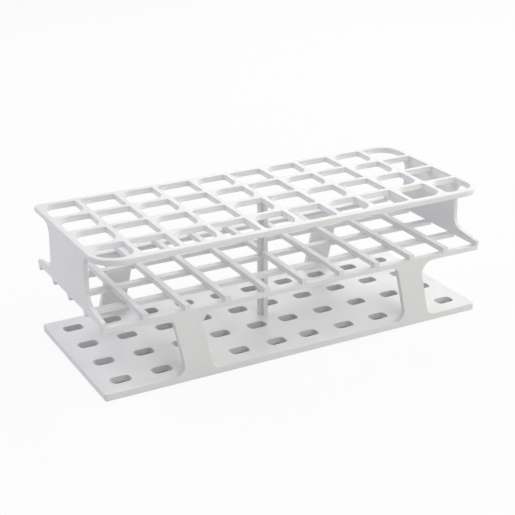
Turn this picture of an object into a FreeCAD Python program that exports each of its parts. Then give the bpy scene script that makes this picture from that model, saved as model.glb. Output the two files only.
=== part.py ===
import FreeCAD, Part
import math
import os

# Forty-place rack for test tubes, moulded in one piece of white plastic.
# X runs along the ten columns, Y across the four rows, Z up.
# The origin is at the middle of the underside of the base plate.
# All sizes are in millimetres.

# Tube places
columns = 10
rows = 4
pitch = 28.8

# Base plate
base_thickness = 4.7
base_overhang_x = 0.9
base_corner_radius = 2.5
base_lower_edge_radius = 0.8

# Slots that the round tube ends sit in
slot_length = 13.9
slot_width = 8.9
slot_corner_radius = 3.2
slot_shift_to_centre = 1.7

# Long sides: the base, the legs and the middle grid share one plane
side_overhang = 1.2

# Middle grid: long bars below, cross bars lying on them
lower_bay_height = 42.7
long_bar_height = 3.4
long_bar_foot_width = 3.4
long_bar_top_width = 5.0
long_bar_flare_radius = 2.6
cross_bar_height = 3.6
cross_bar_width = 4.1
middle_overhang_x = 0.5
middle_window_radius = 1.6
middle_outer_radius = 1.0

# Top grid
upper_bay_height = 35.7
top_height = 4.0
rib_width = 3.4
top_overhang_x = 1.4
top_overhang_y = 2.0
top_end_rail_width = 3.8
top_side_rail_width = 4.6
top_front_left_radius = 20.0
top_front_right_radius = 15.0
top_back_right_radius = 18.0
top_back_left_radius = 4.0
window_round_radius = 10.0
window_plain_radius = 1.6
top_outer_edge_radius = 0.7
top_end_slope_height = 2.2

# End walls with their waist
wall_thickness = 3.0
waist_width = 62.5
waist_swell = 1.4
wall_fillet_radius = 8.0
wall_wedge_height = 3.4

# Legs between the base and the middle grid, two on each long side
leg_width = 19.0
leg_thickness = 3.8
leg_column_gap = 2
leg_left_offset = -1.0
leg_right_offset = -2.2
leg_lean_degrees = 12.5
leg_lower_fillet = 7.0
leg_upper_fillet = 6.0
leg_upper_lean_fillet = 9.0

# Post in the middle of the rack
post_arm_span = 7.4
post_arm_thickness = 2.2

half_length = columns * pitch / 2.0
half_depth = rows * pitch / 2.0
side_face = half_depth + side_overhang
end_face = half_length + middle_overhang_x
middle_underside = base_thickness + lower_bay_height
middle_split = middle_underside + long_bar_height
middle_top = middle_split + cross_bar_height
top_underside = middle_top + upper_bay_height
top_surface = top_underside + top_height


def rounded_polygon(points, radii, height_low, height_high, plane):
    """Prism over a polygon whose corners are rounded, standing on the given plane."""
    edges = []
    count = len(points)
    ends = []
    for index in range(count):
        corner = FreeCAD.Vector(*points[index], 0)
        before = FreeCAD.Vector(*points[index - 1], 0)
        after = FreeCAD.Vector(*points[(index + 1) % count], 0)
        radius = radii[index]
        if radius <= 0:
            ends.append((corner, corner, corner))
            continue
        back = (before - corner).normalize()
        forth = (after - corner).normalize()
        half = back.getAngle(forth) / 2.0
        reach = radius / math.tan(half)
        start = corner + back * reach
        finish = corner + forth * reach
        middle_way = (back + forth).normalize()
        top_of_arc = corner + middle_way * (radius / math.sin(half) - radius)
        ends.append((start, top_of_arc, finish))
    for index in range(count):
        start, top_of_arc, finish = ends[index]
        if (finish - start).Length > 1e-6:
            edges.append(Part.Arc(start, top_of_arc, finish).toShape())
        following = ends[(index + 1) % count][0]
        if (following - finish).Length > 1e-6:
            edges.append(Part.makeLine(finish, following))
    face = Part.Face(Part.Wire(edges))
    prism = face.extrude(FreeCAD.Vector(0, 0, height_high - height_low))
    prism.translate(FreeCAD.Vector(0, 0, height_low))
    if plane == "XZ":
        prism.rotate(FreeCAD.Vector(0, 0, 0), FreeCAD.Vector(1, 0, 0), 90)
    if plane == "YZ":
        prism.rotate(FreeCAD.Vector(0, 0, 0), FreeCAD.Vector(1, 0, 0), 90)
        prism.rotate(FreeCAD.Vector(0, 0, 0), FreeCAD.Vector(0, 0, 1), 90)
    return prism


def rounded_box(x_low, x_high, y_low, y_high, z_low, z_high, radii):
    """Upright block with rounded corners: front left, front right, back right, back left."""
    points = [(x_low, y_low), (x_high, y_low), (x_high, y_high), (x_low, y_high)]
    fitted = list(radii)
    for index in range(4):
        following = (index + 1) % 4
        side = (x_high - x_low) if index % 2 == 0 else (y_high - y_low)
        share = 0.98 * side / max(fitted[index] + fitted[following], 1e-6)
        if share < 1:
            fitted[index] *= share
            fitted[following] *= share
    return rounded_polygon(points, fitted, z_low, z_high, "XY")


def column_centre(column):
    return (column + 0.5) * pitch - half_length


def row_centre(row):
    return (row + 0.5) * pitch - half_depth


def base_plate():
    half = half_length + base_overhang_x
    radii = [base_corner_radius] * 4
    plate = rounded_box(-half, half, -side_face, side_face, 0, base_thickness, radii)
    lower = [edge for edge in plate.Edges if edge.BoundBox.ZMax < base_thickness / 2.0]
    plate = plate.makeFillet(base_lower_edge_radius, lower)
    slots = []
    for column in range(columns):
        side = 1 if column < columns / 2.0 else -1
        x = column_centre(column) + side * slot_shift_to_centre
        for row in range(rows):
            y = row_centre(row)
            slots.append(rounded_box(
                x - slot_length / 2.0, x + slot_length / 2.0,
                y - slot_width / 2.0, y + slot_width / 2.0,
                -1, base_thickness + 1, [slot_corner_radius] * 4))
    return plate.cut(slots)


def middle_grid():
    radii = [middle_outer_radius] * 4
    lower = rounded_box(-end_face, end_face, -side_face, side_face,
                        middle_underside, middle_split, radii)
    cuts = []
    for row in range(rows):
        y = row_centre(row)
        half = (pitch - long_bar_foot_width) / 2.0
        flare = min(long_bar_flare_radius, long_bar_height)
        points = [(y - half, middle_underside - flare), (y + half, middle_underside - flare),
                  (y + half, middle_split), (y - half, middle_split)]
        lane = rounded_polygon(points, [0, 0, flare, flare], -end_face - 1, end_face + 1, "YZ")
        cuts.append(lane)
        for column in range(columns):
            x = column_centre(column)
            half_x = (pitch - cross_bar_width) / 2.0
            half_y = (pitch - long_bar_top_width) / 2.0
            cuts.append(rounded_box(x - half_x, x + half_x, y - half_y, y + half_y,
                                    middle_underside - 1, middle_top + 1,
                                    [middle_window_radius] * 4))
    grid = lower.cut(cuts)
    bars = []
    for line in range(columns + 1):
        x = line * pitch - half_length
        low = max(x - cross_bar_width / 2.0, -end_face)
        high = min(x + cross_bar_width / 2.0, end_face)
        bars.append(Part.makeBox(high - low, 2 * side_face, cross_bar_height,
                                 FreeCAD.Vector(low, -side_face, middle_split)))
    return grid.fuse(bars)


def top_grid():
    half_x = half_length + top_overhang_x
    half_y = half_depth + top_overhang_y
    radii = [top_front_left_radius, top_front_right_radius,
             top_back_right_radius, top_back_left_radius]
    plate = rounded_box(-half_x, half_x, -half_y, half_y, top_underside, top_surface, radii)
    outer = [edge for edge in plate.Edges if edge.BoundBox.ZLength < top_height / 2.0]
    plate = plate.makeFillet(top_outer_edge_radius, outer)
    halfway = top_underside + top_height / 2.0
    cuts = []
    for side in (-1, 1):
        outline = [(side * (half_x + 1), top_underside - 1),
                   (side * (half_x + 1), top_underside + top_end_slope_height),
                   (side * half_x, top_underside + top_end_slope_height),
                   (side * end_face, top_underside),
                   (side * end_face, top_underside - 1)]
        cuts.append(rounded_polygon(outline, [0] * 5, -half_y - 1, half_y + 1, "XZ"))
    for column in range(columns):
        left = column * pitch - half_length + rib_width / 2.0
        right = (column + 1) * pitch - half_length - rib_width / 2.0
        if column == 0:
            left = -half_x + top_end_rail_width
        if column == columns - 1:
            right = half_x - top_end_rail_width
        for row in range(rows):
            front = row * pitch - half_depth + rib_width / 2.0
            back = (row + 1) * pitch - half_depth - rib_width / 2.0
            if row == 0:
                front = -half_y + top_side_rail_width
            if row == rows - 1:
                back = half_y - top_side_rail_width
            large = window_round_radius
            small = window_plain_radius
            near_left = small
            far_right = small
            if column == 0 and row == 0:
                near_left = top_front_left_radius - top_side_rail_width
            if column == columns - 1 and row == rows - 1:
                far_right = top_back_right_radius - top_side_rail_width
            rounded = [near_left, large, far_right, large]
            corner_place = column == columns - 1 and row == 0
            if column % 2 == 0 or corner_place:
                cuts.append(rounded_box(left, right, front, back,
                                        top_underside - 1, top_surface + 1, rounded))
            else:
                cuts.append(rounded_box(left, right, front, back,
                                        top_underside - 1, halfway, rounded))
                plain = [near_left, small, far_right, small]
                cuts.append(rounded_box(left, right, front, back,
                                        halfway, top_surface + 1, plain))
    return plate.cut(cuts)


def end_wall(side):
    """Wall at one end: a waist that spreads to the corners of both grids."""
    half = waist_width / 2.0
    low = middle_top - cross_bar_height
    high = top_underside + top_height / 2.0
    corner = half_depth + top_overhang_y - top_front_left_radius
    foot = side_face - middle_outer_radius
    points = [(-foot, low), (foot, low), (foot, middle_top),
              (half + waist_swell, middle_top + wall_wedge_height),
              (half, top_underside), (corner, top_underside), (corner, high),
              (-corner, high), (-corner, top_underside), (-half, top_underside),
              (-half - waist_swell, middle_top + wall_wedge_height), (-foot, middle_top)]
    radii = [0, 0, 0, wall_fillet_radius, wall_fillet_radius, 0, 0,
             0, 0, wall_fillet_radius, wall_fillet_radius, 0]
    outer = end_face
    inner = end_face - wall_thickness
    if side > 0:
        return rounded_polygon(points, radii, inner, outer, "YZ")
    return rounded_polygon(points, radii, -outer, -inner, "YZ")


def leg(x_top, side):
    """Leaning leg in the plane of one long side; the far side is turned half round."""
    drop = middle_underside - base_thickness
    shift = drop * math.tan(math.radians(leg_lean_degrees))
    half = leg_width / 2.0
    reach = 2.5 * leg_lower_fillet + leg_upper_lean_fillet
    overlap = min(base_thickness, long_bar_height) / 2.0
    top = middle_underside
    bottom = base_thickness
    points = [
        (x_top + shift - half - reach, bottom - overlap),
        (x_top + shift + half + reach, bottom - overlap),
        (x_top + shift + half + reach, bottom),
        (x_top + shift + half, bottom),
        (x_top + half, top),
        (x_top + half + reach, top),
        (x_top + half + reach, top + overlap),
        (x_top - half - reach, top + overlap),
        (x_top - half - reach, top),
        (x_top - half, top),
        (x_top + shift - half, bottom),
        (x_top + shift - half - reach, bottom)]
    radii = [0, 0, 0, leg_lower_fillet, leg_upper_lean_fillet, 0,
             0, 0, 0, leg_upper_fillet, leg_lower_fillet, 0]
    shape = rounded_polygon(points, radii, side_face - leg_thickness, side_face, "XZ")
    if side > 0:
        shape.rotate(FreeCAD.Vector(0, 0, 0), FreeCAD.Vector(0, 0, 1), 180)
    return shape


def centre_post():
    half = post_arm_span / 2.0
    thin = post_arm_thickness / 2.0
    height = top_underside + top_height / 2.0 - base_thickness / 2.0
    along = Part.makeBox(2 * half, 2 * thin, height,
                         FreeCAD.Vector(-half, -thin, base_thickness / 2.0))
    across = Part.makeBox(2 * thin, 2 * half, height,
                          FreeCAD.Vector(-thin, -half, base_thickness / 2.0))
    return along.fuse(across)


def rack():
    left = leg_column_gap * pitch - half_length + leg_left_offset
    right = half_length - leg_column_gap * pitch + leg_right_offset
    parts = [middle_grid(), top_grid(), end_wall(-1), end_wall(1), centre_post()]
    for side in (-1, 1):
        for x_top in (left, right):
            parts.append(leg(x_top, side))
    whole = base_plate().fuse(parts)
    return whole.removeSplitter()


os.makedirs("parts", exist_ok=True)
body = rack()
if body.ShapeType != "Solid":
    body = body.Solids[0]
body.exportStep("parts/rack.step")
print("rack", body.isValid(), round(body.Volume), body.BoundBox)
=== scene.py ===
import bpy
import math
from mathutils import Matrix, Vector

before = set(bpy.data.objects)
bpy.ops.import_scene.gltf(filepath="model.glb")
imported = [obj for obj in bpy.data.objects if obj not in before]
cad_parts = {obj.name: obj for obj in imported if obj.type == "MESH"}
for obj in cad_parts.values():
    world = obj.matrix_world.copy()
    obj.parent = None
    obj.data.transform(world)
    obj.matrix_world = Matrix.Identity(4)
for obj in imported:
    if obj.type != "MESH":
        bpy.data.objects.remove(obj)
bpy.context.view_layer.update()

# Rack moulding
# The whole rack is one injection moulding in white polypropylene: base plate, legs, both grids,
# end walls and centre post come out of one mould. The mould is lightly spark-finished, so the
# skin is satin with a very fine grain and faint flow marks, and every edge is slightly broken.
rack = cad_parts["rack"]

plastic_white = (0.8, 0.8, 0.805, 1)
plastic_shade = (0.765, 0.767, 0.775, 1)
plastic_index = 1.49
glow_share = 0.06
glow_reach = 0.0015
glow_colours = (1.0, 0.95, 0.9)
roughness_rubbed = 0.36
roughness_fresh = 0.5
noise_low = 0.3
noise_high = 0.7
along_the_rack = (0.35, 1, 1)
flow_mark_height = 0.00004
flow_mark_strength = 0.3
grain_height = 0.00002
grain_strength = 0.35
edge_break = 0.0004
edge_samples = 8

plastic = bpy.data.materials.new("white_polypropylene")
plastic.use_nodes = True
nodes = plastic.node_tree.nodes
links = plastic.node_tree.links
skin = nodes["Principled BSDF"]
skin.inputs["IOR"].default_value = plastic_index
skin.inputs["Subsurface Weight"].default_value = glow_share
skin.inputs["Subsurface Radius"].default_value = glow_colours
skin.inputs["Subsurface Scale"].default_value = glow_reach

place = nodes.new("ShaderNodeTexCoord")


def noise(scale, detail, roughness, stretch=(1, 1, 1)):
    """Noise in the rack's own metres; stretch below 1 draws it out along that axis."""
    mapping = nodes.new("ShaderNodeMapping")
    mapping.inputs["Scale"].default_value = stretch
    links.new(place.outputs["Object"], mapping.inputs["Vector"])
    texture = nodes.new("ShaderNodeTexNoise")
    texture.inputs["Scale"].default_value = scale
    texture.inputs["Detail"].default_value = detail
    texture.inputs["Roughness"].default_value = roughness
    links.new(mapping.outputs["Vector"], texture.inputs["Vector"])
    return texture.outputs["Fac"]


def spread(value, low, high):
    """Stretches the middle of a noise over the range from low to high."""
    ramp = nodes.new("ShaderNodeMapRange")
    ramp.inputs["From Min"].default_value = noise_low
    ramp.inputs["From Max"].default_value = noise_high
    ramp.inputs["To Min"].default_value = low
    ramp.inputs["To Max"].default_value = high
    links.new(value, ramp.inputs["Value"])
    return ramp.outputs["Result"]


def two_tones(tree, first, second, share):
    """Colour that goes from the first to the second as share goes from 0 to 1."""
    tone = tree.nodes.new("ShaderNodeMix")
    tone.data_type = "RGBA"
    tone.inputs["A"].default_value = first
    tone.inputs["B"].default_value = second
    tree.links.new(share, tone.inputs["Factor"])
    return tone.outputs["Result"]


def raised(texture, height, strength, normal):
    """Normal of a surface that the texture raises by up to height."""
    bump = nodes.new("ShaderNodeBump")
    bump.inputs["Strength"].default_value = strength
    bump.inputs["Distance"].default_value = height
    links.new(texture, bump.inputs["Height"])
    links.new(normal, bump.inputs["Normal"])
    return bump.outputs["Normal"]


cloud = noise(scale=14, detail=3, roughness=0.5)
flow = noise(scale=35, detail=2, roughness=0.5, stretch=along_the_rack)
grain = noise(scale=1600, detail=2, roughness=0.6)
rub = noise(scale=120, detail=4, roughness=0.6)

tone = two_tones(plastic.node_tree, plastic_white, plastic_shade, spread(cloud, 0, 1))
links.new(tone, skin.inputs["Base Color"])
links.new(spread(rub, roughness_rubbed, roughness_fresh), skin.inputs["Roughness"])

edges = nodes.new("ShaderNodeBevel")
edges.samples = edge_samples
edges.inputs["Radius"].default_value = edge_break
flow_marked = raised(flow, flow_mark_height, flow_mark_strength, edges.outputs["Normal"])
grained = raised(grain, grain_height, grain_strength, flow_marked)
links.new(grained, skin.inputs["Normal"])

rack.data.materials.clear()
rack.data.materials.append(plastic)

# Floor
# A wide sheet of matt white card that the rack stands on. It shows nearly as white as paper, and
# keeps a faint soft shadow around the base. Under the base plate, where it shows through the
# slots, the card is painted dark grey as painted shade, since hardly any light gets in there.
floor_half = 12.0
floor_drop = 0.0002
card_white = (0.85, 0.85, 0.85, 1)
# Painted shade: the card under the base plate is coloured dark grey in place of the shade there.
card_painted_shade = (0.14, 0.14, 0.14, 1)
seen_white = (1.0, 1.0, 1.0, 1)
shadow_share = 0.1
painted_shade_half_length = 0.1445
painted_shade_half_depth = 0.0584
painted_shade_edge = 0.001

floor_mesh = bpy.data.meshes.new("floor")
floor_mesh.from_pydata([(-floor_half, -floor_half, 0), (floor_half, -floor_half, 0),
                        (floor_half, floor_half, 0), (-floor_half, floor_half, 0)],
                       [], [(0, 1, 2, 3)])
floor = bpy.data.objects.new("floor", floor_mesh)
floor.location.z = -floor_drop
bpy.context.scene.collection.objects.link(floor)
card = bpy.data.materials.new("white_card")
card.use_nodes = True
tree = card.node_tree
tree.nodes.clear()


def reckon(tree, operation, first, second=None):
    """One math node over one or two inputs, each a socket or a number."""
    node = tree.nodes.new("ShaderNodeMath")
    node.operation = operation
    for socket, value in zip(node.inputs, (first, second)):
        if isinstance(value, float):
            socket.default_value = value
        elif value is not None:
            tree.links.new(value, socket)
    return node.outputs[0]


def background_rays(tree):
    """1 for the rays that show the background: from the camera, off gloss and through glass."""
    rays = tree.nodes.new("ShaderNodeLightPath").outputs
    seen = reckon(tree, "MAXIMUM", rays["Is Camera Ray"], rays["Is Glossy Ray"])
    return reckon(tree, "MAXIMUM", seen, rays["Is Transmission Ray"])


def show(tree, lit, seen, share, kind_of_output):
    """Puts two shaders on the output, the seen one by its share."""
    mix = tree.nodes.new("ShaderNodeMixShader")
    tree.links.new(share, mix.inputs["Fac"])
    tree.links.new(lit.outputs[0], mix.inputs[1])
    tree.links.new(seen.outputs[0], mix.inputs[2])
    output = tree.nodes.new(kind_of_output)
    tree.links.new(mix.outputs[0], output.inputs["Surface"])


spot = tree.nodes.new("ShaderNodeTexCoord")
apart = tree.nodes.new("ShaderNodeSeparateXYZ")
tree.links.new(spot.outputs["Object"], apart.inputs[0])
from_middle = [reckon(tree, "ABSOLUTE", apart.outputs[axis]) for axis in ("X", "Y")]
past_end = reckon(tree, "SUBTRACT", from_middle[0], painted_shade_half_length)
past_side = reckon(tree, "SUBTRACT", from_middle[1], painted_shade_half_depth)
# Mask of the painted shade: 0 under the base plate, 1 outside it, with a soft edge.
outside_painted_shade = tree.nodes.new("ShaderNodeMapRange")
outside_painted_shade.inputs["From Min"].default_value = -painted_shade_edge
outside_painted_shade.inputs["From Max"].default_value = 0
tree.links.new(reckon(tree, "MAXIMUM", past_end, past_side), outside_painted_shade.inputs["Value"])

matt = tree.nodes.new("ShaderNodeBsdfDiffuse")
card_tone = two_tones(tree, card_painted_shade, card_white, outside_painted_shade.outputs[0])
tree.links.new(card_tone, matt.inputs["Color"])
bright = tree.nodes.new("ShaderNodeEmission")
bright.inputs["Color"].default_value = seen_white
# Under the base plate the camera sees the painted dark grey card, not the white.
share = reckon(tree, "MULTIPLY", background_rays(tree), 1 - shadow_share)
share = reckon(tree, "MULTIPLY", share, outside_painted_shade.outputs[0])
show(tree, matt, bright, share, "ShaderNodeOutputMaterial")
floor_mesh.materials.append(card)

# Studio light
# A white tent, which is seen around the rack, and seven soft boxes that light it: one at the left,
# two in front, two at the right and two behind. The ones at the right are the brighter, so that
# the right end of the rack is lighter than the left, and the tops are the lightest faces.
tent_seen = (0.983, 0.983, 0.983, 1)
tent_cloth = (0.02, 0.02, 0.02, 1)
rack_middle = Vector((0, 0, 0.05))
box_side = 0.8
small_box_side = 0.6

world = bpy.data.worlds.new("tent")
bpy.context.scene.world = world
world.use_nodes = True
tree = world.node_tree
tree.nodes.clear()
paper = tree.nodes.new("ShaderNodeBackground")
paper.inputs["Color"].default_value = tent_seen
cloth = tree.nodes.new("ShaderNodeBackground")
cloth.inputs["Color"].default_value = tent_cloth
show(tree, cloth, paper, background_rays(tree), "ShaderNodeOutputWorld")


def soft_lamp(name, position, side, watts, colour):
    """Square soft box at a position, turned to the middle of the rack."""
    light = bpy.data.lights.new(name, "AREA")
    light.size = side
    light.energy = watts
    light.color = colour
    lamp = bpy.data.objects.new(name, light)
    lamp.location = position
    turn = (rack_middle - Vector(position)).to_track_quat("-Z", "Y")
    lamp.rotation_euler = turn.to_euler()
    bpy.context.scene.collection.objects.link(lamp)


soft_lamp("left_box", (-1.2, -0.1, 0.8), box_side, watts=4.0, colour=(0.91, 0.82, 1.0))
soft_lamp("front_box", (0.0, -1.3, 0.9), box_side, watts=5.6, colour=(0.96, 1.0, 1.0))
soft_lamp("high_front_box", (0.3, -1.0, 1.3), box_side, watts=4.3, colour=(1.0, 0.99, 0.83))
soft_lamp("front_right_box", (1.0, -0.9, 0.6), small_box_side, watts=3.1,
          colour=(1.0, 0.98, 0.82))
soft_lamp("right_box", (1.5, -0.1, 0.8), box_side, watts=14.8, colour=(0.98, 0.97, 1.0))
soft_lamp("back_box", (0.7, 1.0, 0.9), box_side, watts=5.8, colour=(1.0, 0.98, 0.98))
soft_lamp("back_left_box", (-0.8, 0.9, 1.0), box_side, watts=9.0, colour=(0.93, 0.98, 1.0))

# Camera
# It stands at the front left, above the rack and a little less than a metre away, as in the
# photo. Its place, direction and lens were solved from the slots and corners of the rack.
camera_place = (-0.38317, -0.70009, 0.37979)
camera_heading = math.radians(28.4376)
camera_dip = math.radians(22.5496)
camera_roll = math.radians(-0.1036)
focal_length = 85.589
sensor_width = 36.0
nearest_seen = 0.01
farthest_seen = 100

forward = Vector((math.sin(camera_heading) * math.cos(camera_dip),
                  math.cos(camera_heading) * math.cos(camera_dip), -math.sin(camera_dip)))
level = forward.cross(Vector((0, 0, 1))).normalized()
upright = level.cross(forward)
across = level * math.cos(camera_roll) + upright * math.sin(camera_roll)
above = upright * math.cos(camera_roll) - level * math.sin(camera_roll)
lens = bpy.data.cameras.new("camera")
lens.sensor_width = sensor_width
lens.lens = focal_length
lens.clip_start = nearest_seen
lens.clip_end = farthest_seen
camera = bpy.data.objects.new("camera", lens)
turned = Matrix((across, above, -forward)).transposed().to_4x4()
camera.matrix_world = Matrix.Translation(camera_place) @ turned
bpy.context.scene.collection.objects.link(camera)
bpy.context.scene.camera = camera
bpy.context.scene.view_settings.view_transform = "Standard"
